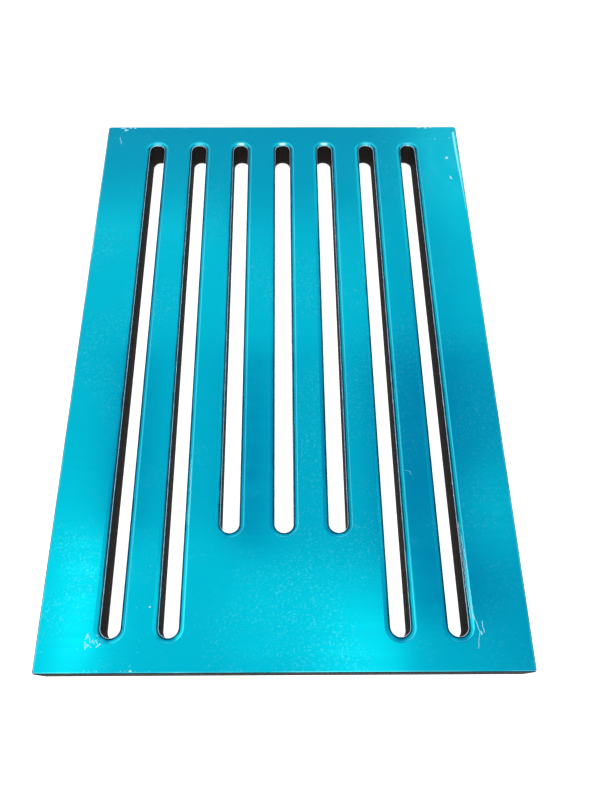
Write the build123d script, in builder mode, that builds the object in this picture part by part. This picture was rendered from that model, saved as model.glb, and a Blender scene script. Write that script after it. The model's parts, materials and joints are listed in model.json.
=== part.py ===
from build123d import *

import os

# Slotted queen excluder panel: two metal sheets bonded to a dark plastic core.
#
# The panel lies flat. X runs across the slots, Y runs along them towards the ends that line up,
# and Z points up through the face that carries the protective film. The origin is at the middle
# of the underside. All sizes are in millimetres.

# Outline of the panel
PANEL_WIDTH = 100.0
PANEL_LENGTH = 150.0
PANEL_THICKNESS = 6.5
CORNER_RADIUS = 0.6

# Layers, from the underside up
SHEET_THICKNESS = 0.3
CORE_TOP = PANEL_THICKNESS - SHEET_THICKNESS
FILM_THICKNESS = 0.1
FILM_TOP = PANEL_THICKNESS + FILM_THICKNESS

# Seven parallel slots. A worker bee passes the gap, a queen or a drone doesn't.
SLOT_COUNT = 7
SLOT_WIDTH = 4.2
SLOT_PITCH = 11.8
SHORT_SLOTS = (2, 3, 4)
FAR_MARGIN = 7.1
LONG_SLOT_MARGIN = 6.9
SHORT_SLOT_MARGIN = 28.8

# The face dips towards each slot in a shallow dish that the punch left, and the layers dip with it.
DISH_WIDTH = 1.15
DISH_DEPTH = 0.16
DISH_BEND_RADIUS = 0.8
SHEARED_EDGE_RADIUS = 0.25

# The film stops a little short of the panel's sheared edge.
FILM_INSET = 0.25


def slot_outlines():
    """Cut all the slots out of the sketch being drawn."""
    for index in range(SLOT_COUNT):
        across = (index - (SLOT_COUNT - 1) / 2) * SLOT_PITCH
        near_margin = SHORT_SLOT_MARGIN if index in SHORT_SLOTS else LONG_SLOT_MARGIN
        far_end = PANEL_LENGTH / 2 - FAR_MARGIN
        near_end = near_margin - PANEL_LENGTH / 2
        with Locations((across, (far_end + near_end) / 2)):
            SlotOverall(far_end - near_end, SLOT_WIDTH, rotation=90, mode=Mode.SUBTRACT)


def top_face(builder):
    """The highest flat face of the part being built."""
    return builder.faces().filter_by(Axis.Z).sort_by(Axis.Z)[-1]


def top_slot_edges(builder):
    """The edges of the slots in the highest flat face."""
    return [edge for wire in top_face(builder).inner_wires() for edge in wire.edges()]


def slotted_slab(bottom, top, inset=0.0, dished=True):
    """A slab with the seven slots, each with its dish in the slab's top."""
    with BuildPart() as slab:
        with BuildSketch(Plane.XY.offset(bottom)) as outline:
            RectangleRounded(PANEL_WIDTH - 2 * inset, PANEL_LENGTH - 2 * inset, CORNER_RADIUS)
            slot_outlines()
        extrude(amount=top - bottom)
        if dished:
            chamfer(top_slot_edges(slab), DISH_WIDTH, DISH_DEPTH, reference=top_face(slab))
            fillet(top_slot_edges(slab), DISH_BEND_RADIUS)
    return slab.part


# Back sheet: flat, with plain slots
back_sheet = slotted_slab(0.0, SHEET_THICKNESS, dished=False)

# Core: fills the space between the sheets and forms the deep walls of the slots
core = slotted_slab(SHEET_THICKNESS, CORE_TOP)

# Face sheet: what lies between the core's top and the same shape one sheet higher
with BuildPart() as face_sheet:
    add(slotted_slab(SHEET_THICKNESS, PANEL_THICKNESS))
    rim = top_face(face_sheet).outer_wire()
    fillet(rim.edges(), SHEARED_EDGE_RADIUS)
    add(core, mode=Mode.SUBTRACT)

# Protective film: one even layer over the face sheet, down into each dish
with BuildPart() as protective_film:
    add(slotted_slab(SHEET_THICKNESS, FILM_TOP, FILM_INSET))
    add(slotted_slab(SHEET_THICKNESS, PANEL_THICKNESS), mode=Mode.SUBTRACT)

os.makedirs("parts", exist_ok=True)
for label, solid in (
    ("back_sheet", back_sheet),
    ("core", core),
    ("face_sheet", face_sheet.part),
    ("protective_film", protective_film.part),
):
    solid.label = label
    export_step(solid, f"parts/{label}.step")
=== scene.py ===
import json
import math
import random

import bmesh
import bpy
from mathutils import Matrix, Vector, noise


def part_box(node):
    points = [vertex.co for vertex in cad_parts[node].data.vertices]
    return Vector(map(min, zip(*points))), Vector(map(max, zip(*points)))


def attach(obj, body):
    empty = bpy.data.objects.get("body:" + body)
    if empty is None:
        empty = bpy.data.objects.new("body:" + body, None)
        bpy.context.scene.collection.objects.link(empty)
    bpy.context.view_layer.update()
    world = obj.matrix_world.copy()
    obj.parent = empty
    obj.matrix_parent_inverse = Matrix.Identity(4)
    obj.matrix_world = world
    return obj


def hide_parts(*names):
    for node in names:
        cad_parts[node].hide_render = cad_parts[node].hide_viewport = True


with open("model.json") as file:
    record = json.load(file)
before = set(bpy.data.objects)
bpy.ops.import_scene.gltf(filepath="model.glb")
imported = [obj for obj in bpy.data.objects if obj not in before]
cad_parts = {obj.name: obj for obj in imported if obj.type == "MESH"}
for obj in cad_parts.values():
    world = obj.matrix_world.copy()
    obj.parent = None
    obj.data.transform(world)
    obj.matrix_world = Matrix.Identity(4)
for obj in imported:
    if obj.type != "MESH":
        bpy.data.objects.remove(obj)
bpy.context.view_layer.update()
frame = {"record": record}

MM = 0.001

# ---------------------------------------------------------------------------
# Places and sizes, taken from the frame
# ---------------------------------------------------------------------------

BACK_LOW, BACK_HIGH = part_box("back_sheet")
CORE_LOW, CORE_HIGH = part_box("core")
FACE_LOW, FACE_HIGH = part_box("face_sheet")
FILM_LOW, FILM_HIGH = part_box("protective_film")

SLOT_RADIUS = 2.1 * MM
# A slot's opening box in the record stops this far short of the slot's round end.
OPENING_GAP = 1.8 * MM

SHEET_THICKNESS = FACE_HIGH.z - CORE_HIGH.z
CORNER_RADIUS = 0.6 * MM
SHEARED_EDGE_RADIUS = 0.25 * MM

# Each layer of the face dips towards a slot in a shallow dish, and the punch rolled the slot's edge over.
DISH_WIDTH = 1.15 * MM
DISH_DEPTH = FACE_HIGH.z - SHEET_THICKNESS - FACE_LOW.z
DISH_SLOPE = math.atan2(DISH_DEPTH, DISH_WIDTH)
BEND_RADIUS = 0.8 * MM
ROLL_RADIUS = 0.26 * MM
# The film is torn off this far round the rolled edge, in degrees from level.
FILM_TURN = 66
# Torn scraps and edges are this thick.
SCRAP_THICKNESS = 0.03 * MM

# Steps of half a turn round a slot's end, and of each bend of a dish
END_STEPS = 28
BEND_STEPS = 5


def slot_places():
    """Each slot as its middle across, and the centres of its near and far round ends."""
    places = []
    for opening in frame["record"]["physics"]["openings"]:
        low, high = opening["box_m"]
        near = low[1] - OPENING_GAP + SLOT_RADIUS
        far = high[1] + OPENING_GAP - SLOT_RADIUS
        places.append(((low[0] + high[0]) / 2, near, far))
    return places


SLOTS = slot_places()


# ---------------------------------------------------------------------------
# Materials
# ---------------------------------------------------------------------------


def linear(hex_colour):
    """An sRGB hex colour as linear red, green, blue and alpha."""
    parts = [int(hex_colour[i : i + 2], 16) / 255 for i in (1, 3, 5)]
    return [p / 12.92 if p <= 0.04045 else ((p + 0.055) / 1.055) ** 2.4 for p in parts] + [1.0]


def add_node(tree, kind, settings=(), links=()):
    """Add a node. A setting names an attribute or an input; a link gives an input its source."""
    node = tree.nodes.new(kind)
    for name, value in dict(settings).items():
        if isinstance(name, str) and hasattr(node, name):
            setattr(node, name, value)
        else:
            node.inputs[name].default_value = value
    for name, source in dict(links).items():
        tree.links.new(source, node.inputs[name])
    return node


def new_material(name):
    """An empty material, its node tree and its object coordinates."""
    material = bpy.data.materials.new(name)
    material.use_nodes = True
    tree = material.node_tree
    tree.nodes.clear()
    coordinates = add_node(tree, "ShaderNodeTexCoord").outputs["Object"]
    return material, tree, coordinates


def finish_material(tree, shader):
    """Join the shader to the material's output."""
    add_node(tree, "ShaderNodeOutputMaterial", links={"Surface": shader.outputs["BSDF"]})


def drawn_noise(tree, coordinates, sizes, detail=2.0):
    """Noise whose features are about these sizes along X, Y and Z, in metres."""
    stretched = add_node(
        tree,
        "ShaderNodeMapping",
        {"Scale": [1 / size for size in sizes]},
        {"Vector": coordinates},
    )
    return add_node(
        tree,
        "ShaderNodeTexNoise",
        {"Scale": 1.0, "Detail": detail, "Roughness": 0.6},
        {"Vector": stretched.outputs["Vector"]},
    ).outputs["Fac"]


def spread(tree, value, low, high, from_low=0.3, from_high=0.7):
    """Bring a noise value into the range from low to high."""
    return add_node(
        tree,
        "ShaderNodeMapRange",
        {1: from_low, 2: from_high, 3: low, 4: high},
        {0: value},
    ).outputs["Result"]


def blend_colours(tree, amount, first, second):
    """Mix two sRGB colours, or an output and a colour, by an amount from 0 to 1."""
    node = add_node(tree, "ShaderNodeMix", {"data_type": "RGBA"})
    tree.links.new(amount, node.inputs[0])
    for socket, colour in ((node.inputs[6], first), (node.inputs[7], second)):
        if isinstance(colour, str):
            socket.default_value = linear(colour)
        else:
            tree.links.new(colour, socket)
    return node.outputs[2]


def film_on_brushed_metal():
    """Blue polyethylene film stuck to brushed aluminium: the metal's long glow, dyed through and through,
    with painted shade along the slots' edges and painted highlights and glow on its pale rings and
    crescents.
    """
    material, tree, coordinates = new_material("polyethylene_film_on_brushed_aluminium")
    # Belt grain is about 0.1 mm apart; it is drawn 0.3 mm apart, so that it shows.
    grain = drawn_noise(tree, coordinates, (14 * MM, 0.3 * MM, 0.3 * MM), 3.0)
    bands = drawn_noise(tree, coordinates, (70 * MM, 1.8 * MM, 1.8 * MM))
    clouds = drawn_noise(tree, coordinates, (18 * MM, 18 * MM, 18 * MM), 3.0)
    dust = drawn_noise(tree, coordinates, (0.45 * MM, 0.45 * MM, 0.45 * MM))
    dyed = blend_colours(tree, spread(tree, grain, 0.0, 1.0), "#00CAE2", "#00CEE5")
    # Dust and tiny blisters under the film catch the light here and there.
    dusty = add_node(
        tree,
        "ShaderNodeMath",
        {"operation": "MULTIPLY"},
        {0: spread(tree, dust, 0.0, 1.0, 0.56, 0.72), 1: spread(tree, clouds, 0.0, 0.6, 0.46, 0.62)},
    ).outputs["Value"]
    dotted = blend_colours(tree, dusty, dyed, "#4FE4F0")
    # Painted shade: the film is darkened to deep blue along each slot's edge, where it turns over the rolled
    # rim; this colour stands in for the shade there.
    painted_rim_shade = add_node(tree, "ShaderNodeAttribute", {"attribute_name": "painted_rim_shade"}).outputs["Fac"]
    rim_shaded = blend_colours(tree, painted_rim_shade, dotted, "#07506E")
    # Stretched or loose film has whitened; the same mask also paints highlights: a pale ring along each
    # slot's bend and a pale crescent at each far end.
    whitening_and_highlight = add_node(tree, "ShaderNodeAttribute", {"attribute_name": "whitening_and_highlight"}).outputs["Fac"]
    whitened_and_highlighted = blend_colours(tree, whitening_and_highlight, rim_shaded, "#70EEF8")
    whitened_and_highlighted = blend_colours(tree, spread(tree, whitening_and_highlight, 0.0, 1.0, 0.75, 1.0), whitened_and_highlighted, "#F4FFFF")
    roughness = add_node(
        tree,
        "ShaderNodeMath",
        {"operation": "ADD"},
        {0: spread(tree, bands, 0.15, 0.18), 1: spread(tree, clouds, -0.01, 0.03)},
    )
    # A faint glow is painted light on the whitened film and on the painted highlight rings and crescents,
    # and shows in any lighting.
    painted_glow = spread(tree, whitening_and_highlight, 0.0, 0.42, 0.0, 1.0)
    grain_bump = add_node(
        tree, "ShaderNodeBump", {"Strength": 0.12, "Distance": 0.015 * MM}, {"Height": grain}
    )
    shader = add_node(
        tree,
        "ShaderNodeBsdfPrincipled",
        {"Metallic": 1.0, "Coat Weight": 0.03, "Coat Roughness": 0.1},
        {
            "Base Color": whitened_and_highlighted,
            "Emission Color": whitened_and_highlighted,
            "Emission Strength": painted_glow,
            "Roughness": roughness.outputs["Value"],
            "Normal": grain_bump.outputs["Normal"],
        },
    )
    finish_material(tree, shader)
    return material


def brushed_aluminium():
    """Rolled aluminium brushed with a belt across the slots: grey, with fine parallel scratches."""
    material, tree, coordinates = new_material("brushed_aluminium")
    # Belt grain is about 0.1 mm apart; it is drawn 0.25 mm apart, so that it shows.
    grain = drawn_noise(tree, coordinates, (12 * MM, 0.25 * MM, 0.25 * MM), 3.0)
    bump = add_node(
        tree, "ShaderNodeBump", {"Strength": 0.3, "Distance": 0.02 * MM}, {"Height": grain}
    )
    shader = add_node(
        tree,
        "ShaderNodeBsdfPrincipled",
        {"Metallic": 1.0},
        {
            "Base Color": blend_colours(tree, spread(tree, grain, 0.0, 1.0), "#C3C7C9", "#DDE0E1"),
            "Roughness": spread(tree, grain, 0.28, 0.4),
            "Normal": bump.outputs["Normal"],
        },
    )
    finish_material(tree, shader)
    return material


def routed_polyethylene():
    """Carbon-filled polyethylene cut with a router: nearly black and waxy, with upright cutter marks."""
    material, tree, coordinates = new_material("routed_black_polyethylene")
    marks = drawn_noise(tree, coordinates, (0.5 * MM, 0.5 * MM, 9 * MM), 3.0)
    bump = add_node(
        tree, "ShaderNodeBump", {"Strength": 0.25, "Distance": 0.02 * MM}, {"Height": marks}
    )
    shader = add_node(
        tree,
        "ShaderNodeBsdfPrincipled",
        {"IOR": 1.5, "Specular IOR Level": 0.03},
        {
            "Base Color": blend_colours(tree, spread(tree, marks, 0.0, 1.0), "#292523", "#322E2C"),
            "Roughness": spread(tree, marks, 0.65, 0.85),
            "Normal": bump.outputs["Normal"],
        },
    )
    finish_material(tree, shader)
    return material


def torn_film():
    """Polyethylene film stretched until it whitened, as along a tear: milky, with a silvery shine."""
    material, tree, coordinates = new_material("torn_polyethylene_film")
    patches = drawn_noise(tree, coordinates, (0.5 * MM, 1.2 * MM, 0.5 * MM))
    # The faint glow is painted light that brightens the scraps, as on the whitened film.
    shader = add_node(
        tree,
        "ShaderNodeBsdfPrincipled",
        {
            "Metallic": 0.4,
            "Emission Color": linear("#B8F6FC"),
            "Emission Strength": 0.3,
        },
        {
            "Base Color": blend_colours(tree, spread(tree, patches, 0.0, 1.0), "#9AEAF3", "#EEFEFF"),
            "Roughness": spread(tree, patches, 0.3, 0.5),
        },
    )
    finish_material(tree, shader)
    return material


def sheared_edge():
    """Aluminium where a shear cut it, with the shear's short upright scores; its dull, near-black colour is
    painted shade for the dark line along the panel's edge.
    """
    material, tree, coordinates = new_material("sheared_edge_painted_shade")
    scores = drawn_noise(tree, coordinates, (0.4 * MM, 0.4 * MM, 3 * MM))
    shader = add_node(
        tree,
        "ShaderNodeBsdfPrincipled",
        {"Metallic": 1.0},
        {
            "Base Color": blend_colours(tree, spread(tree, scores, 0.0, 1.0), "#1B2022", "#40464A"),
            "Roughness": spread(tree, scores, 0.45, 0.65),
        },
    )
    finish_material(tree, shader)
    return material


FILM = film_on_brushed_metal()
METAL = brushed_aluminium()
CORE = routed_polyethylene()
TORN = torn_film()
SHEARED = sheared_edge()


# ---------------------------------------------------------------------------
# Shaping
# ---------------------------------------------------------------------------


def edges_of(geometry):
    return [part for part in geometry if isinstance(part, bmesh.types.BMEdge)]


def verts_of(geometry):
    return [part for part in geometry if isinstance(part, bmesh.types.BMVert)]


def draw_section(bm, start, strokes):
    """Draw a run of edges, standing across X and Z, from a start point.

    A stroke of three numbers is a point to reach; one of two is a centre and the degrees to turn round it.
    """
    known = set(bm.edges)
    here = bm.verts.new(start)
    for stroke in strokes:
        if len(stroke) == 2:
            centre, degrees = stroke
            made = bmesh.ops.spin(
                bm,
                geom=[here],
                cent=centre,
                axis=(0, 1, 0),
                angle=math.radians(degrees),
                steps=BEND_STEPS,
            )["geom_last"]
            here = verts_of(made)[0]
        else:
            reached = bm.verts.new(stroke)
            bm.edges.new((here, reached))
            here = reached
    edges = [edge for edge in bm.edges if edge not in known]
    verts = list(dict.fromkeys(vert for edge in edges for vert in edge.verts))
    return verts + edges


def half_turn(bm, section, across, along):
    """Spin a section half way round a slot's end, and return where it comes to."""
    return bmesh.ops.spin(
        bm,
        geom=section,
        cent=(across, along, 0),
        axis=(0, 0, 1),
        angle=math.pi,
        steps=END_STEPS,
    )["geom_last"]


def slide(bm, section, distance):
    """Draw a section out along the slot, and return where it comes to."""
    made = bmesh.ops.extrude_edge_only(bm, edges=edges_of(section))["geom"]
    verts = verts_of(made)
    bmesh.ops.translate(bm, verts=verts, vec=(0, distance, 0))
    return verts + [edge for edge in edges_of(made) if all(vert in verts for vert in edge.verts)]


def carry_round_slot(bm, section, slot):
    """Take a section that stands at the right of a slot's far end once round the slot."""
    across, near, far = slot
    section = half_turn(bm, section, across, far)
    section = slide(bm, section, near - far)
    section = half_turn(bm, section, across, near)
    slide(bm, section, far - near)
    bmesh.ops.remove_doubles(bm, verts=bm.verts, dist=0.0001 * MM)


def draw_plate(bm, low, high, corner, rim=0.0):
    """Make the outside wall of a flat plate, with its faces left open for the slots."""
    made = bmesh.ops.create_grid(bm, x_segments=1, y_segments=1, size=0.5)["verts"]
    bmesh.ops.scale(bm, verts=made, vec=(high.x - low.x, high.y - low.y, 1))
    middle = (low + high) / 2
    bmesh.ops.translate(bm, verts=made, vec=(middle.x, middle.y, low.z))
    bmesh.ops.bevel(
        bm,
        geom=made,
        offset=corner,
        segments=6,
        profile=0.5,
        affect="VERTICES",
        material=-1,
    )
    raised = bmesh.ops.extrude_face_region(bm, geom=bm.faces[:])["geom"]
    bmesh.ops.translate(bm, verts=verts_of(raised), vec=(0, 0, high.z - low.z))
    if rim:
        top = [edge for edge in bm.edges if all(vert.co.z > middle.z for vert in edge.verts)]
        bmesh.ops.bevel(
            bm,
            geom=top,
            offset=rim,
            segments=5,
            profile=0.5,
            affect="EDGES",
            material=-1,
        )
    level = [face for face in bm.faces if abs(face.normal.z) > 0.999]
    bmesh.ops.delete(bm, geom=level, context="FACES_ONLY")


def close_flats(bm, levels):
    """Fill the flat region at each level between the outline and the slots."""
    for level in levels:
        loop = [
            edge
            for edge in bm.edges
            if len(edge.link_faces) == 1
            and all(abs(vert.co.z - level) < 0.0001 * MM for vert in edge.verts)
        ]
        bmesh.ops.triangle_fill(bm, use_beauty=True, edges=loop, normal=(0, 0, 1))


def cut_across(bm, axis, places, low=None, high=None):
    """Divide the mesh at each place along an axis, so that it can follow a gentle wave."""
    for place in places:
        parts = bm.verts[:] + bm.edges[:] + bm.faces[:]
        if low is not None:
            near = [face for face in bm.faces if within(face.calc_center_bounds(), low, high)]
            around = (part for face in near for part in (*face.verts, *face.edges, face))
            parts = list(dict.fromkeys(around))
        normal = Vector((axis == "x", axis == "y", 0))
        bmesh.ops.bisect_plane(
            bm,
            geom=parts,
            dist=0.001 * MM,
            plane_co=normal * place,
            plane_no=normal,
        )


def within(point, low, high):
    return low[0] < point.x < high[0] and low[1] < point.y < high[1]


def new_piece(name, bm, material, replaced=None, smooth=True):
    """Make a finished object from a bmesh, riding on the panel."""
    bmesh.ops.recalc_face_normals(bm, faces=bm.faces[:])
    mesh = bpy.data.meshes.new(name)
    bm.to_mesh(mesh)
    bm.free()
    mesh.materials.append(material)
    if smooth:
        mesh.shade_smooth()
        mesh.set_sharp_from_angle(angle=math.radians(35))
    piece = bpy.data.objects.new(name, mesh)
    bpy.context.scene.collection.objects.link(piece)
    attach(piece, "root")
    if replaced:
        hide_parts(replaced)
    return piece


# ---------------------------------------------------------------------------
# The four layers
# ---------------------------------------------------------------------------

# How far out from a slot's wall a ring of painted highlight lies on the film
RING_OUT = 0.93 * MM
# The flat beside each dish is kept level this far out, so that its shading stays even.
SHELF = 0.3 * MM

PITCH = SLOTS[1][0] - SLOTS[0][0]
WAVE_LINES_X = [SLOTS[0][0] + PITCH * (step / 6 - 1) for step in range(6 * 8 + 1)]
WAVE_LINES_Y = [FACE_LOW.y + 2.5 * MM * step for step in range(1, 60)]
# The film's border is cut finer, where it has whitened.
BORDER = 0.22 * MM
BORDER_LINES_X = [FILM_LOW.x + BORDER, FILM_HIGH.x - BORDER]
BORDER_LINES_Y = [FILM_LOW.y + BORDER, FILM_HIGH.y - BORDER]

# The film's loose corner, where it is cut finer
LOOSE_LOW = (36.5 * MM, 45.0 * MM)
LOOSE_HIGH = (49.8 * MM, 74.8 * MM)


def ease(value):
    """A smooth step from 0 to 1."""
    held = max(0.0, min(1.0, value))
    return held * held * (3 - 2 * held)


def sheet_wave(x, y):
    """How far the thin sheet lies above or below flat."""
    slow = noise.noise(Vector((x / (34 * MM), y / (48 * MM), 2.7)))
    quick = noise.noise(Vector((x / (11 * MM), y / (30 * MM), 9.1)))
    return (0.035 * slow + 0.008 * quick - 0.02) * MM


def from_slots(x, y):
    """How far a point is from the nearest slot's middle line, and how far off its far end and its right."""
    nearest = (1.0, 0.0, 0.0)
    for across, near, far in SLOTS:
        side = x - across
        along = y - max(near, min(far, y))
        distance = math.hypot(side, along)
        if distance < nearest[0]:
            reach = max(distance, 0.001 * MM)
            nearest = (distance, along / reach, side / reach)
    return nearest


def film_loose(x, y):
    """How far the film has come away from the metal at its far right corner, from 0 to 1."""
    corner = ease((x - 37.0 * MM) / (6 * MM)) * ease((y - 46.0 * MM) / (10 * MM))
    patchy = 0.55 + 1.2 * noise.noise(Vector((x / (4.2 * MM), y / (6.0 * MM), 5.5)))
    return corner * max(0.0, min(1.0, patchy))


def film_whitening_and_highlight(x, y):
    """How pale the film is painted: whitened where it is loose and at its border, and painted highlights in
    a ring on each bend and a crescent at each far end.
    """
    distance, far_facing, right_facing = from_slots(x, y)
    # Painted highlights: the ring is brighter on the right-facing side of each slot, the crescent on the
    # middle slots.
    bend = 1.0 - abs(distance - SLOT_RADIUS - RING_OUT) / (0.12 * MM)
    bend_strength = 0.34 + 0.32 * right_facing + 0.12 * noise.noise(Vector((x, y, 0)) / (5 * MM))
    crescent = ease((far_facing - 0.8) / 0.2) * ease((distance - 2.15 * MM) / (0.1 * MM))
    crescent *= ease((2.95 * MM - distance) / (0.3 * MM))
    crescent_strength = 1.0 if abs(x) < 14 * MM else 0.6
    inside = min(FILM_HIGH.x - abs(x), y - FILM_LOW.y)
    patchy = 0.5 + 0.9 * noise.noise(Vector((x / (7 * MM), y / (7 * MM), 3.3)))
    border = (1.0 - inside / BORDER) * max(0.15, min(1.0, patchy))
    return max(
        0.04 * film_loose(x, y),
        bend_strength * max(0.0, bend),
        crescent_strength * crescent,
        min(1.0, border),
        0.0,
    )


def film_rim_shade(x, y):
    """How much painted shade darkens the film along a slot's edge, from 0 to 1."""
    distance, far_facing = from_slots(x, y)[:2]
    ragged = 0.12 * noise.noise(Vector((x / (0.9 * MM), y / (0.9 * MM), 4.4)))
    beyond = (distance - SLOT_RADIUS) / MM + ragged
    return (1.0 - ease((beyond - 0.3) / 0.22)) * (1.0 - ease((far_facing - 0.3) / 0.5))


def film_bubbles(x, y):
    """The height of the bubbles and creases under the loose film."""
    crease = abs(noise.noise(Vector((x / (2.6 * MM), y / (4.4 * MM), 1.3))))
    bubble = max(0.0, noise.noise(Vector((x / (1.7 * MM), y / (1.9 * MM), 7.7))))
    return film_loose(x, y) * (0.01 + 0.012 * crease + 0.02 * bubble) * MM


def lay_on_wave(bm):
    for vert in bm.verts:
        vert.co.z += sheet_wave(vert.co.x, vert.co.y)


def section_start(slot, out, height):
    """A point at the right of a slot's far end, this far from the slot's middle line."""
    across, _, far = slot
    return Vector((across + out, far, height))


def roll_centre(slot, top):
    """The middle of the rolled edge's curve, for a layer whose flat is at this height."""
    drop = DISH_DEPTH - ROLL_RADIUS * math.tan(DISH_SLOPE) + ROLL_RADIUS / math.cos(DISH_SLOPE)
    return section_start(slot, SLOT_RADIUS + ROLL_RADIUS, top - drop)


def slope_level(top, out):
    """The height of a dish's slope this far out from the slot's wall."""
    return top - (DISH_WIDTH - out) * math.tan(DISH_SLOPE)


def dish_strokes(slot, top, turn):
    """The strokes of a dish from its flat inwards: a bend, the slope, and the rolled edge.

    Also the strokes back out, for a layer whose underside has the same shape.
    """
    slope = math.degrees(DISH_SLOPE)
    rim = SLOT_RADIUS + DISH_WIDTH
    bend_out = rim + BEND_RADIUS * math.tan(DISH_SLOPE / 2)
    bend = section_start(slot, bend_out, top - BEND_RADIUS)
    roll = roll_centre(slot, top)
    away = Matrix.Rotation(-DISH_SLOPE, 3, "Y") @ Vector((0, 0, 1))
    torn = Matrix.Rotation(-math.radians(turn), 3, "Y") @ Vector((0, 0, 1))
    flat = section_start(slot, bend_out + SHELF, top)
    down = Matrix.Rotation(-DISH_SLOPE, 3, "Y") @ Vector((-1, 0, 0))
    slope_end = roll + ROLL_RADIUS * away
    inwards = [
        section_start(slot, bend_out + 0.08 * MM, top),
        section_start(slot, bend_out, top),
        (bend, -slope),
        section_start(slot, SLOT_RADIUS + RING_OUT + 0.12 * MM, slope_level(top, RING_OUT + 0.12 * MM)),
        section_start(slot, SLOT_RADIUS + RING_OUT, slope_level(top, RING_OUT)),
        section_start(slot, SLOT_RADIUS + RING_OUT - 0.12 * MM, slope_level(top, RING_OUT - 0.12 * MM)),
        slope_end - 0.32 * MM * down,
        slope_end - 0.16 * MM * down,
        slope_end,
        (roll, slope - turn),
    ]
    outwards = [
        roll + ROLL_RADIUS * torn,
        (roll, turn - slope),
        bend + BEND_RADIUS * away,
        (bend, slope),
        flat,
    ]
    return flat, inwards, outwards


def make_back_plate():
    """The flat back sheet, with plain punched slots."""
    bm = bmesh.new()
    draw_plate(bm, BACK_LOW, BACK_HIGH, CORNER_RADIUS)
    for slot in SLOTS:
        foot = section_start(slot, SLOT_RADIUS, BACK_LOW.z)
        top = section_start(slot, SLOT_RADIUS, BACK_HIGH.z)
        carry_round_slot(bm, draw_section(bm, foot, [top]), slot)
    close_flats(bm, (BACK_LOW.z, BACK_HIGH.z))
    return new_piece("back_plate", bm, METAL, "back_sheet")


def make_core_slab():
    """The dark core, whose routed walls line the slots and whose top dips under each dish."""
    bm = bmesh.new()
    draw_plate(bm, CORE_LOW, CORE_HIGH, CORNER_RADIUS)
    for slot in SLOTS:
        section = draw_section(
            bm,
            section_start(slot, SLOT_RADIUS, CORE_LOW.z),
            [
                section_start(slot, SLOT_RADIUS, CORE_HIGH.z - DISH_DEPTH),
                section_start(slot, SLOT_RADIUS + DISH_WIDTH, CORE_HIGH.z),
            ],
        )
        carry_round_slot(bm, section, slot)
    close_flats(bm, (CORE_LOW.z, CORE_HIGH.z))
    return new_piece("core_slab", bm, CORE, "core")


def make_face_plate():
    """The face sheet, dished towards each slot, with a rolled edge and a punched wall."""
    bm = bmesh.new()
    low = Vector((FACE_LOW.x, FACE_LOW.y, CORE_HIGH.z))
    draw_plate(bm, low, FACE_HIGH, CORNER_RADIUS, SHEARED_EDGE_RADIUS)
    for slot in SLOTS:
        flat, inwards = dish_strokes(slot, FACE_HIGH.z, 90)[:2]
        under = [
            section_start(slot, SLOT_RADIUS, CORE_HIGH.z - DISH_DEPTH),
            section_start(slot, SLOT_RADIUS + DISH_WIDTH, CORE_HIGH.z),
        ]
        carry_round_slot(bm, draw_section(bm, flat, inwards + under), slot)
    close_flats(bm, (FACE_HIGH.z, CORE_HIGH.z))
    cut_across(bm, "x", WAVE_LINES_X)
    cut_across(bm, "y", WAVE_LINES_Y)
    lay_on_wave(bm)
    plate = new_piece("face_plate", bm, METAL, "face_sheet")
    # The outer edge takes the sheared edge's near-black colour, which is painted shade.
    plate.data.materials.append(SHEARED)
    edge = SHEARED_EDGE_RADIUS * 0.9
    for face in plate.data.polygons:
        if abs(face.center.x) > FACE_HIGH.x - edge or abs(face.center.y) > FACE_HIGH.y - edge:
            face.material_index = 1
    return plate


def make_film():
    """The film, stuck over the face and into each dish, loose at its far right corner."""
    bm = bmesh.new()
    low = Vector((FILM_LOW.x, FILM_LOW.y, FACE_HIGH.z))
    draw_plate(bm, low, FILM_HIGH, CORNER_RADIUS)
    for slot in SLOTS:
        flat, inwards = dish_strokes(slot, FILM_HIGH.z, FILM_TURN)[:2]
        under = dish_strokes(slot, FACE_HIGH.z, FILM_TURN)[2]
        carry_round_slot(bm, draw_section(bm, flat, inwards + under), slot)
    close_flats(bm, (FILM_HIGH.z, FACE_HIGH.z))
    cut_across(bm, "x", WAVE_LINES_X)
    cut_across(bm, "y", WAVE_LINES_Y)
    fine_x = [LOOSE_LOW[0] + 0.5 * MM * step for step in range(1, 27)]
    fine_y = [LOOSE_LOW[1] + 0.5 * MM * step for step in range(1, 60)]
    cut_across(bm, "x", BORDER_LINES_X)
    cut_across(bm, "y", BORDER_LINES_Y)
    cut_across(bm, "x", fine_x, LOOSE_LOW, LOOSE_HIGH)
    cut_across(bm, "y", fine_y, LOOSE_LOW, LOOSE_HIGH)
    # Painted light: a pale mask for whitened film and painted highlights, and a mask of painted shade along
    # the slots' edges.
    whitening_and_highlight = bm.verts.layers.float.new("whitening_and_highlight")
    painted_rim_shade = bm.verts.layers.float.new("painted_rim_shade")
    for vert in bm.verts:
        vert[whitening_and_highlight] = film_whitening_and_highlight(vert.co.x, vert.co.y)
        vert[painted_rim_shade] = film_rim_shade(vert.co.x, vert.co.y)
        vert.co.z += film_bubbles(vert.co.x, vert.co.y)
    lay_on_wave(bm)
    return new_piece("film_skin", bm, FILM, "protective_film")


# ---------------------------------------------------------------------------
# What wear has left of the film's edges
# ---------------------------------------------------------------------------


# Steps along a slot's torn edge
SELVAGE_STEPS = 220


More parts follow.
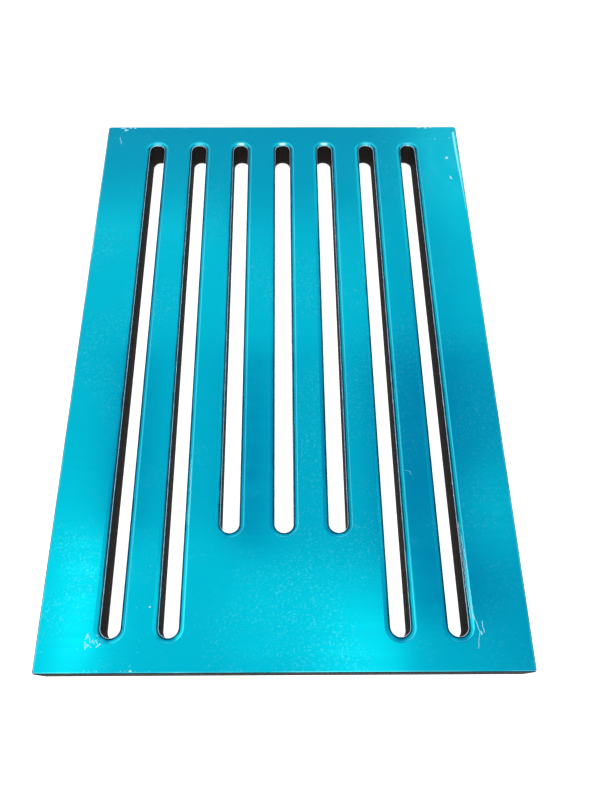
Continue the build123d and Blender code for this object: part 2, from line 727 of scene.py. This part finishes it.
def make_selvage(index, slot):
    """The ragged white edge that the film keeps where it was torn off along a slot."""
    _, near, far = slot
    bm = bmesh.new()
    roll = roll_centre(slot, FILM_HIGH.z)
    torn = Matrix.Rotation(-math.radians(FILM_TURN - 6), 3, "Y") @ Vector((0, 0, 1))
    top = roll + (ROLL_RADIUS + 0.01 * MM) * torn
    foot = section_start(slot, SLOT_RADIUS - 0.03 * MM, roll.z - 0.06 * MM)
    carry_round_slot(bm, draw_section(bm, top, [foot]), slot)
    lines = [near + (far - near) * step / SELVAGE_STEPS for step in range(SELVAGE_STEPS + 1)]
    cut_across(bm, "y", lines)
    for vert in bm.verts:
        if vert.co.z < (top.z + foot.z) / 2:
            ragged = noise.noise(Vector((vert.co.x / (1.1 * MM), vert.co.y / (1.1 * MM), index * 3.1)))
            fine = noise.noise(Vector((vert.co.x / (0.35 * MM), vert.co.y / (0.35 * MM), index * 1.7)))
            vert.co.z += (0.16 * ragged + 0.1 * fine) * MM
            vert.co.z = min(vert.co.z, top.z - 0.005 * MM)
    lay_on_wave(bm)
    piece = new_piece(f"film_selvage_{index}", bm, TORN, smooth=False)
    wall = piece.modifiers.new("thickness", "SOLIDIFY")
    wall.thickness = SCRAP_THICKNESS
    wall.offset = 0.0
    return piece


def film_level(x, y):
    """The height of the film's face over a flat part of the panel."""
    return FILM_HIGH.z + sheet_wave(x, y) + film_bubbles(x, y)


def add_strand(bm, points, width, seed):
    """A narrow strip of film that lies along a few points, wavering a little. Points are in mm."""
    chance = random.Random(seed)
    route = []
    for (x0, y0), (x1, y1) in zip(points, points[1:]):
        steps = max(3, int(math.hypot(x1 - x0, y1 - y0) / 0.5))
        for step in range(steps):
            share = step / steps
            route.append((x0 + (x1 - x0) * share, y0 + (y1 - y0) * share))
    route.append(points[-1])
    verts = None
    for x, y in route:
        x += chance.uniform(-0.11, 0.11)
        here = Vector((x * MM, y * MM, film_level(x * MM, y * MM) + chance.uniform(0.0, 0.015) * MM))
        if verts is None:
            verts = [bm.verts.new(here), bm.verts.new(here + Vector((width * MM, 0, 0)))]
            edge = bm.edges.new(verts)
        else:
            made = bmesh.ops.extrude_edge_only(bm, edges=[edge])["geom"]
            verts = verts_of(made)
            edge = [e for e in edges_of(made) if all(vert in verts for vert in e.verts)][0]
            shift = here - last
            bmesh.ops.translate(bm, verts=verts, vec=shift)
        last = here


def add_flake(bm, x, y, length, width, turn, seed):
    """A ragged scrap of lifted film. Sizes are in mm."""
    chance = random.Random(seed)
    height = film_level(x * MM, y * MM) + 0.01 * MM
    made = bmesh.ops.create_circle(bm, cap_ends=True, cap_tris=True, segments=11, radius=0.5)["verts"]
    for vert in made:
        vert.co *= chance.uniform(0.55, 1.1)
        vert.co.z = chance.uniform(0.0, 0.05) * MM
    bmesh.ops.scale(bm, verts=made, vec=(length * MM, width * MM, 1))
    place = Matrix.Translation((x * MM, y * MM, height)) @ Matrix.Rotation(math.radians(turn), 4, "Z")
    bmesh.ops.transform(bm, matrix=place, verts=made)


def finish_scraps(name, bm):
    piece = new_piece(name, bm, TORN, smooth=False)
    wall = piece.modifiers.new("thickness", "SOLIDIFY")
    wall.thickness = SCRAP_THICKNESS
    wall.offset = 1.0
    return piece


def make_scraps():
    """Strands along two slots, scratches, a crumple, and chips along the edges."""
    bm = bmesh.new()
    for shift, width, seed in ((0.0, 0.06, 1), (0.34, 0.05, 2), (0.66, 0.06, 3)):
        start = -44 - 9 * shift
        add_strand(bm, [(37.6 + shift, start), (37.7 + shift, -57), (37.9 + shift, -64.5)], width, seed)
    add_strand(bm, [(38.5, -63.5), (39.2, -66.4), (39.9, -67.6)], 0.12, 4)
    add_flake(bm, 39.8, -67.4, 0.35, 0.8, 10, 44)
    finish_scraps("film_strands_right", bm)

    bm = bmesh.new()
    add_strand(bm, [(-20.9, -29.2), (-20.6, -37.0), (-20.8, -44.4)], 0.07, 5)
    finish_scraps("film_strands_left", bm)

    bm = bmesh.new()
    add_strand(bm, [(40.1, -65.0), (40.4, -67.3)], 0.1, 6)
    add_strand(bm, [(39.5, -66.9), (38.9, -70.4)], 0.08, 7)
    add_strand(bm, [(27.1, -31.8), (27.9, -32.1), (28.5, -33.0)], 0.05, 8)
    add_strand(bm, [(-46.4, 70.8), (-45.8, 68.2)], 0.12, 9)
    finish_scraps("film_scratches", bm)

    bm = bmesh.new()
    chance = random.Random(21)
    for step in range(20):
        x = -38.7 + chance.uniform(-1.4, 1.4)
        y = -68.8 + chance.uniform(-1.8, 1.8)
        far_x = x + chance.uniform(-1.0, 1.0)
        far_y = y + chance.uniform(-1.0, 1.0)
        add_strand(bm, [(x, y), (far_x, far_y)], chance.uniform(0.08, 0.16), 30 + step)
    finish_scraps("film_crumple", bm)

    bm = bmesh.new()
    chips = (
        (-45.6, 74.3, 1.6, 0.5, 4),
        (-43.7, 74.45, 1.1, 0.35, -6),
        (-42.3, 74.35, 0.9, 0.4, 8),
        (-44.9, 73.5, 1.5, 0.7, 12),
        (39.4, 74.4, 1.5, 0.4, 3),
        (41.2, 74.3, 0.9, 0.5, -8),
        (42.6, 74.45, 0.8, 0.3, 5),
        (46.2, 62.6, 1.3, 0.9, 70),
        (46.5, 55.3, 0.5, 1.5, 20),
        (48.9, 58.0, 0.5, 0.5, 0),
        (43.6, 69.9, 0.4, 0.4, 0),
        (47.6, 70.3, 0.4, 0.35, 0),
        (-30.5, -74.4, 0.7, 0.3, 0),
        (-27.6, -61.9, 0.45, 0.35, 30),
    )
    for seed, chip in enumerate(chips):
        add_flake(bm, *chip, 60 + seed)
    chance = random.Random(8)
    for seed in range(46):
        x = chance.choice((chance.uniform(-49, 49), chance.uniform(-44, -26)))
        y = chance.choice((chance.uniform(-74, -69), -74.4, 74.4, chance.uniform(-73, -50)))
        if all(abs(x * MM - slot[0]) > 4 * MM for slot in SLOTS) or abs(y) > 73:
            add_flake(bm, x, y, chance.uniform(0.08, 0.2), chance.uniform(0.06, 0.16), 0, 90 + seed)
    finish_scraps("film_chips", bm)


def make_fold():
    """The narrow tongue where the film's right-hand edge has folded over on itself."""
    bm = bmesh.new()
    bmesh.ops.create_grid(bm, x_segments=4, y_segments=30, size=0.5)
    whitening_and_highlight = bm.verts.layers.float.new("whitening_and_highlight")
    for vert in bm.verts:
        along = vert.co.y + 0.5
        width = (0.2 + 0.95 * ease(along / 0.9)) * MM
        arch = 1.0 - (2 * vert.co.x) ** 2
        vert.co.x = 49.55 * MM + (vert.co.x - 0.5) * width
        vert.co.y = (44.0 + 29.5 * along) * MM
        vert.co.z = film_level(vert.co.x, vert.co.y) + (0.01 + 0.02 * arch) * MM
        # Whitened film, most along its crest; through the film's material this also sets a painted glow.
        vert[whitening_and_highlight] = 0.6 + 0.2 * arch
    piece = new_piece("film_fold", bm, FILM)
    wall = piece.modifiers.new("thickness", "SOLIDIFY")
    wall.thickness = SCRAP_THICKNESS
    wall.offset = 1.0


make_back_plate()
make_core_slab()
make_face_plate()
make_film()
for number, place in enumerate(SLOTS, 1):
    make_selvage(number, place)
make_scraps()
make_fold()


# ---------------------------------------------------------------------------
# Floor, light and camera
# ---------------------------------------------------------------------------


def make_floor():
    """A white table top that glows a little, as a light table does."""
    bm = bmesh.new()
    bmesh.ops.create_grid(bm, x_segments=1, y_segments=1, size=1.5)
    mesh = bpy.data.meshes.new("floor")
    bm.to_mesh(mesh)
    bm.free()
    material, tree = new_material("white_acrylic_table")[:2]
    shader = add_node(
        tree,
        "ShaderNodeBsdfPrincipled",
        {
            "Base Color": linear("#F4F4F4"),
            "Roughness": 0.6,
            "Emission Color": linear("#FFFFFF"),
            "Emission Strength": 1.0,
        },
    )
    finish_material(tree, shader)
    mesh.materials.append(material)
    floor = bpy.data.objects.new("floor", mesh)
    bpy.context.scene.collection.objects.link(floor)


def make_backdrop():
    """A white screen all round, seen by the camera but not mirrored in the film."""
    bm = bmesh.new()
    bmesh.ops.create_cone(bm, segments=96, radius1=1.45, radius2=1.45, depth=3.0)
    mesh = bpy.data.meshes.new("backdrop")
    bm.to_mesh(mesh)
    bm.free()
    material, tree = new_material("white_paper_screen")[:2]
    shader = add_node(
        tree,
        "ShaderNodeBsdfPrincipled",
        {"Emission Color": linear("#FFFFFF"), "Emission Strength": 1.0},
    )
    finish_material(tree, shader)
    mesh.materials.append(material)
    screen = bpy.data.objects.new("backdrop", mesh)
    screen.visible_glossy = False
    screen.visible_diffuse = False
    screen.visible_shadow = False
    bpy.context.scene.collection.objects.link(screen)


def softbox(name, centre, width, depth, radiance, colour, aim=(0, 0, -1)):
    """A flat soft light of a given brightness. Places and sizes are in millimetres."""
    light = bpy.data.lights.new(name, "AREA")
    light.shape = "RECTANGLE"
    light.size = width * MM
    light.size_y = depth * MM
    light.energy = radiance * math.pi * light.size * light.size_y
    light.color = linear(colour)[:3]
    lamp = bpy.data.objects.new(name, light)
    lamp.location = Vector(centre) * MM
    lamp.rotation_euler = Vector(aim).to_track_quat("-Z", "Y").to_euler()
    lamp.visible_camera = False
    bpy.context.scene.collection.objects.link(lamp)


def make_world():
    """A cool room, bright overhead and dark low down."""
    world = bpy.data.worlds.new("studio")
    world.use_nodes = True
    tree = world.node_tree
    background = tree.nodes["Background"]
    direction = add_node(tree, "ShaderNodeTexCoord").outputs["Generated"]
    height = add_node(tree, "ShaderNodeSeparateXYZ", links={"Vector": direction}).outputs["Z"]
    share = spread(tree, height, 0.0, 1.0, 0.15, 0.6)
    node = add_node(tree, "ShaderNodeMix", {"data_type": "RGBA"})
    node.inputs[6].default_value = (0.17, 0.19, 0.26, 1)
    node.inputs[7].default_value = (0.31, 0.34, 0.51, 1)
    tree.links.new(share, node.inputs[0])
    tree.links.new(node.outputs[2], background.inputs["Color"])
    bpy.context.scene.world = world


# Ceiling softboxes: name, middle across and along, width, depth, and brightness
CEILING = (
    ("left_long", -215, 60, 110, 380, 0.5),
    ("left_near", -215, -20, 110, 280, 0.12),
    ("left_glint", -172, 0, 34, 130, 1.1),
    ("far_band", 0, 425, 620, 50, 0.36),
    ("far_band_left", -170, 425, 200, 50, 0.27),
    ("far_wide", -85, 330, 370, 150, 0.48),
    ("far_row", 0, 540, 640, 160, 0.2),
    ("far_end", 225, 540, 150, 190, 0.35),
    ("far_right", 170, 330, 150, 130, 0.28),
    ("middle_left", -88, 150, 78, 200, 0.38),
    ("middle_right", 35, 150, 98, 200, 0.36),
    ("near_base", -95, -15, 112, 150, 0.48),
    ("near_bright", 30, -10, 140, 110, 0.68),
    ("near_spot", 72, -50, 76, 90, 0.5),
    ("near_corner", 150, -60, 70, 100, 0.35),
    ("right_long", 225, 180, 80, 600, 0.2),
    ("right_middle", 190, 90, 60, 80, 0.32),
    ("side_left", -480, 120, 300, 700, 0.4),
    ("side_right", 480, 120, 300, 700, 0.15),
)


def make_light():
    """A ceiling of softboxes, and one low in front."""
    # Each hangs a little higher than the last, because lights in one plane hide each other's shine.
    for step, (name, across, along, width, depth, radiance) in enumerate(CEILING):
        softbox(name, (across, along, 401 + 0.5 * step), width, depth, radiance, "#FFFFE0")
    softbox("near_low", (0, -450, 350), 500, 200, 2.6, "#FFFFFF", (0, 1, -0.6))


def make_camera():
    camera = bpy.data.cameras.new("camera")
    camera.sensor_width = 36
    camera.lens = 27.27
    camera.shift_x = 0.0183
    camera.shift_y = 0.090
    camera.clip_start = 0.01
    eye = bpy.data.objects.new("camera", camera)
    eye.location = (-0.24 * MM, -82.05 * MM, 132.4 * MM)
    turn = (
        Matrix.Rotation(math.radians(-0.65), 4, "Z")
        @ Matrix.Rotation(math.radians(21.61), 4, "X")
        @ Matrix.Rotation(math.radians(0.40), 4, "Z")
    )
    eye.rotation_euler = turn.to_euler()
    bpy.context.scene.collection.objects.link(eye)
    bpy.context.scene.camera = eye


make_floor()
make_backdrop()
make_world()
make_light()
make_camera()
bpy.context.scene.view_settings.view_transform = "Standard"
